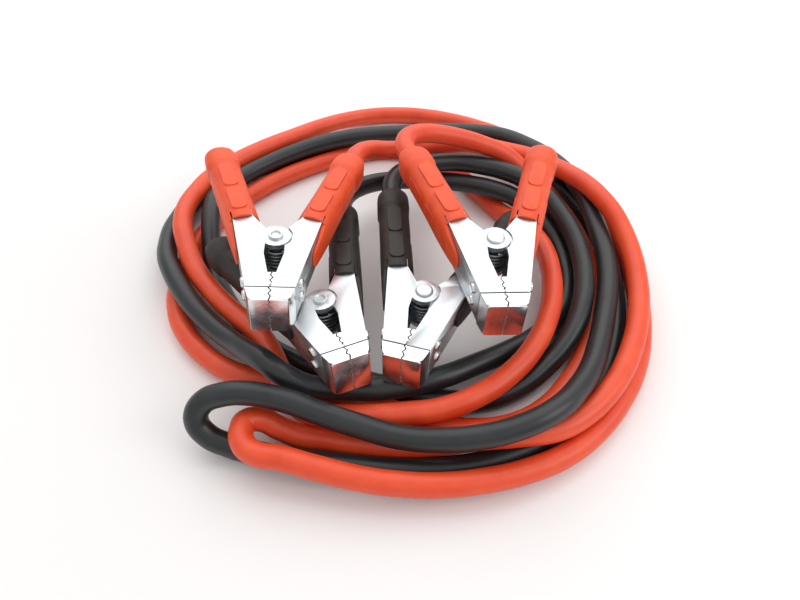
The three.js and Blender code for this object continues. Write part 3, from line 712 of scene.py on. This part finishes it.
# Pressed halves, with softened edges and a bent outer corner
def from_node(node, placing):
    """A copy of a CAD node in its clamp's millimetres, with its flat faces made whole."""
    piece = copy_of(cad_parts[node], node + "_shown")
    piece.data.transform(placing.inverted())
    tidy(piece)
    pick(piece, "VERT", lambda place: True)
    bpy.ops.mesh.dissolve_limited(angle_limit=math.radians(0.6))
    leave_edit()
    return piece


def model_half(node, side, placing):
    half = from_node(node, placing)
    slope = wall_slope()
    mouth = Vector(along_handle(side, MOUTH_SETBACK, MOUTH_HALF_WIDTH))

    def on_corner(place):
        if abs(place.z) > 0.02 and abs(place.z + CLAMP_DEPTH) > 0.02:
            return False
        wall = side * (TIP_HALF_WIDTH + slope * (place.y - TIP_LINE))
        if place.y <= mouth.y + NEAR:
            return abs(place.x - wall) < NEAR
        across = (place.x * side - MOUTH_CENTRE[0]) * math.cos(HANDLE_ANGLE)
        across -= (place.y - MOUTH_CENTRE[1]) * math.sin(HANDLE_ANGLE)
        return abs(across - MOUTH_HALF_WIDTH) < NEAR

    # The plates stop a little short of the insert's nose, which leaves a gap between them; the
    # near-black painted-shade block in it makes a dark line
    pick(half, "VERT", lambda place: place.y < TIP_LINE + NEAR)
    bpy.ops.transform.translate(value=(0, TIP_STEP, 0))
    pick(half, "EDGE", lambda a, b: on_corner(a) and on_corner(b) and abs(a.z - b.z) < 0.01)
    bpy.ops.mesh.bevel(offset=BENT_CORNER, segments=4)
    leave_edit()
    apply_modifier(
        half,
        "BEVEL",
        width=PRESSED_EDGE,
        segments=2,
        limit_method="ANGLE",
        angle_limit=math.radians(40),
        use_clamp_overlap=True,
    )
    smooth(half, 30)
    return half


def model_front(side):
    """The nose's front face, whose inner edge meshes in a zigzag with the other insert's."""
    deselect()
    bpy.ops.mesh.primitive_plane_add(size=2, location=(0, 0, 0), rotation=(math.pi / 2, 0, 0))
    front = bpy.context.object
    bpy.ops.object.transform_apply(location=True, rotation=True, scale=True)
    pick(front, "VERT", lambda place: True)
    inner = side * FRONT_INNER
    outer = side * FRONT_OUTER
    half_height = CLAMP_DEPTH / 2 + FRONT_LIP
    bpy.ops.transform.resize(value=(abs(outer - inner) / 2, 1, half_height))
    bpy.ops.transform.translate(value=((inner + outer) / 2, FRONT_START, MID_DEPTH))
    pick(front, "VERT", lambda place: abs(place.x - outer) < NEAR)
    bpy.ops.mesh.bevel(offset=FRONT_CORNER, segments=5, affect="VERTICES")

    def on_seam(place):
        return abs(place.x - inner) < NEAR

    pick(front, "EDGE", lambda a, b: on_seam(a) and on_seam(b))
    bpy.ops.mesh.subdivide(number_cuts=FRONT_TEETH - 1)
    step = 2 * half_height / FRONT_TEETH
    for i in range(1, FRONT_TEETH):
        level = MID_DEPTH + half_height - step * i
        pick(front, "VERT", lambda place: on_seam(place) and abs(place.z - level) < step / 5)
        shift = FRONT_TOOTH_DEPTH if i % 2 else -FRONT_TOOTH_DEPTH
        bpy.ops.transform.translate(value=(shift, 0, 0))
    pick(front, "FACE", lambda centre, normal: True)
    bpy.ops.mesh.extrude_region_move(TRANSFORM_OT_translate={"value": (0, -FRONT_THICKNESS, 0)})
    leave_edit()
    tidy(front)
    face = FRONT_START - FRONT_THICKNESS + NEAR

    def on_rim(place):
        return place.y < face and abs(place.x) > 2

    pick(front, "EDGE", lambda a, b: on_rim(a) and on_rim(b))
    bpy.ops.mesh.bevel(offset=0.3, segments=3)
    leave_edit()
    smooth(front, 40)
    return front


def model_insert(node, side, placing):
    insert = from_node(node, placing)
    apply_modifier(
        insert,
        "BEVEL",
        width=INSERT_EDGE,
        segments=3,
        limit_method="ANGLE",
        angle_limit=math.radians(50),
        use_clamp_overlap=True,
    )
    smooth(insert, 30)
    apply_modifier(insert, "WEIGHTED_NORMAL", keep_sharp=True)
    front = model_front(side)
    choose(insert, front)
    bpy.ops.object.join()
    return insert


def model_painted_shade_block(side):
    """A near-black block in the step between the plates' edge and the insert's nose, just under
    the surface: painted shade for the gap.
    """
    width = PAINTED_SHADE_OUTER - PAINTED_SHADE_INNER
    centre = (side * (PAINTED_SHADE_INNER + width / 2), TIP_LINE + 0.3, MID_DEPTH)
    shade_block = block(centre, (width, PAINTED_SHADE_LENGTH, CLAMP_DEPTH - 0.7))
    outer = side * PAINTED_SHADE_OUTER
    pick(shade_block, "EDGE", lambda a, b: max(abs(a.x - outer), abs(b.x - outer)) < NEAR)
    bpy.ops.mesh.bevel(offset=0.4, segments=3)
    leave_edit()
    smooth(shade_block, 40)
    return shade_block


# Rivets
def model_head(radius, height, hollow, low=0):
    """A round rivet head standing on z = low, domed or with a hollow middle."""
    deselect()
    bpy.ops.mesh.primitive_cylinder_add(
        vertices=36,
        radius=radius,
        depth=height,
        location=(0, 0, low + height / 2),
    )
    head = bpy.context.object
    bpy.ops.object.transform_apply(location=True, rotation=True, scale=True)
    top = low + height
    pick(head, "FACE", lambda centre, normal: normal.z > 0.9)
    if hollow:
        bpy.ops.mesh.inset(thickness=0.32 * radius)
        bpy.ops.mesh.extrude_region_move(TRANSFORM_OT_translate={"value": (0, 0, -0.7 * height)})
        bpy.ops.transform.resize(value=(0.8, 0.8, 1))
    else:
        bpy.ops.transform.resize(value=(0.9, 0.9, 1))
    leave_edit()
    pick(head, "EDGE", lambda a, b: a.z > top - 0.01 and b.z > top - 0.01)
    bpy.ops.mesh.bevel(offset=(0.22 if hollow else 0.6) * height, segments=5)
    leave_edit()
    return head


def model_pivot(hollow):
    radius = HOLLOW_HEAD_RADIUS if hollow else DOMED_HEAD_RADIUS
    upper = model_head(radius, PIVOT_HEAD_HEIGHT, hollow)
    lower = model_head(radius, PIVOT_HEAD_HEIGHT, hollow)
    below = Matrix.Translation((0, 0, -CLAMP_DEPTH))
    lower.data.transform(below @ Matrix.Rotation(math.pi, 4, "X"))
    deselect()
    bpy.ops.mesh.primitive_cylinder_add(
        vertices=36,
        radius=PIVOT_RADIUS,
        depth=CLAMP_DEPTH,
        location=(0, 0, MID_DEPTH),
    )
    shaft = bpy.context.object
    bpy.ops.object.transform_apply(location=True, rotation=True, scale=True)
    choose(upper, lower, shaft)
    bpy.ops.object.join()
    smooth(upper, 35)
    return upper


def model_jaw_rivet(side, offset):
    head = model_head(JAW_RIVET_RADIUS, JAW_RIVET_HEIGHT, False, low=-0.1)
    slope = wall_slope()
    wall_x = side * (TIP_HALF_WIDTH + slope * (JAW_RIVET_ALONG - TIP_LINE))
    matrix = Matrix.Translation((wall_x, JAW_RIVET_ALONG, MID_DEPTH + offset))
    matrix = matrix @ Matrix.Rotation(-side * math.atan(slope), 4, "Z")
    head.data.transform(matrix @ Matrix.Rotation(side * math.pi / 2, 4, "Y"))
    smooth(head, 35)
    return head


# Torsion spring: close coils round the pivot with a leg towards each handle
def lay_spring(clamp, placing):
    points = []
    height = SPRING_TURNS * SPRING_PITCH
    low = MID_DEPTH - height / 2
    leg_angle = 0.5 * math.pi - HANDLE_ANGLE - 0.12
    start = leg_angle - 0.5 * math.pi
    total = SPRING_TURNS * 2 * math.pi + 2 * HANDLE_ANGLE + 0.24 + math.pi
    steps = round(total / (2 * math.pi) * SPRING_STEPS_PER_TURN)
    for i in range(steps + 1):
        angle = start - total * i / steps + total
        x = SPRING_RADIUS * math.cos(angle)
        y = SPRING_RADIUS * math.sin(angle)
        points.append(Vector((x, y, low + height * i / steps)))
    leg = Vector((math.cos(leg_angle), math.sin(leg_angle), 0)) * SPRING_LEG
    points.insert(0, points[0] + Vector((-leg.x, leg.y, 0)))
    points.append(points[-1] + leg)
    placed = [placing @ point for point in points]
    spring = tube_curve(clamp["name"] + "_spring_wire", placed, SPRING_WIRE_RADIUS, 1, 3)
    spring.data.materials.append(spring_steel)
    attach(spring, "coil")
    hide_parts(clamp["name"] + "_spring")


# Every clamp, from pieces modelled once and copied
SIDES = (-1, 1)
LEVELS = (("upper", JAW_RIVET_OFFSET), ("lower", -JAW_RIVET_OFFSET))
grips = {(side, bored): model_grip(side, bored) for side in SIDES for bored in (False, True)}
pivots = {hollow: model_pivot(hollow) for hollow in (False, True)}
jaw_rivets = {
    (side, level): model_jaw_rivet(side, offset) for side in SIDES for level, offset in LEVELS
}
# Near-black blocks for the gap at each plate tip: painted shade
painted_shade_blocks = {side: model_painted_shade_block(side) for side in SIDES}
for clamp in CLAMPS:
    placing = clamp_placing(clamp)
    colour = clamp["colour"]
    grip_material = red_grip if colour == "red" else black_grip
    for word, side in (("left", -1), ("right", 1)):
        name = clamp["name"] + "_" + word
        holds_cable = side == clamp["cable_side"]
        body = "coil" if holds_cable else clamp["moving"]
        grip = copy_of(grips[side, holds_cable], name)
        finish_piece(
            grip, name + "_grip_moulded", body, grip_material, placing,
            [name + "_grip"],
        )
        half = model_half(name + "_half", side, placing)
        finish_piece(
            half, name + "_half_pressed", body, plated_steel, placing,
            [name + "_half"],
        )
        insert = model_insert(name + "_insert", side, placing)
        finish_piece(
            insert, name + "_insert_toothed", body, bright_insert, placing,
            [name + "_insert"],
        )
        # A near-black block in the gap at the plates' tip: painted shade
        shade_block = copy_of(painted_shade_blocks[side], name)
        finish_piece(
            shade_block, name + "_tip_painted_shade", body, painted_shade_steel, placing, [],
        )
        for level, _ in LEVELS:
            rivet = copy_of(jaw_rivets[side, level], name)
            finish_piece(
                rivet, f"{name}_rivet_{level}_head", body, bright_insert, placing,
                [f"{name}_rivet_{level}"],
            )
    pivot = copy_of(pivots[clamp["hollow"]], clamp["name"])
    finish_piece(
        pivot, clamp["name"] + "_pivot_rivet", "coil", plated_steel, placing,
        [clamp["name"] + "_pivot"],
    )
    lay_spring(clamp, placing)
for model in (*grips.values(), *pivots.values(), *jaw_rivets.values(), *painted_shade_blocks.values()):
    bpy.data.objects.remove(model, do_unlink=True)
deselect()
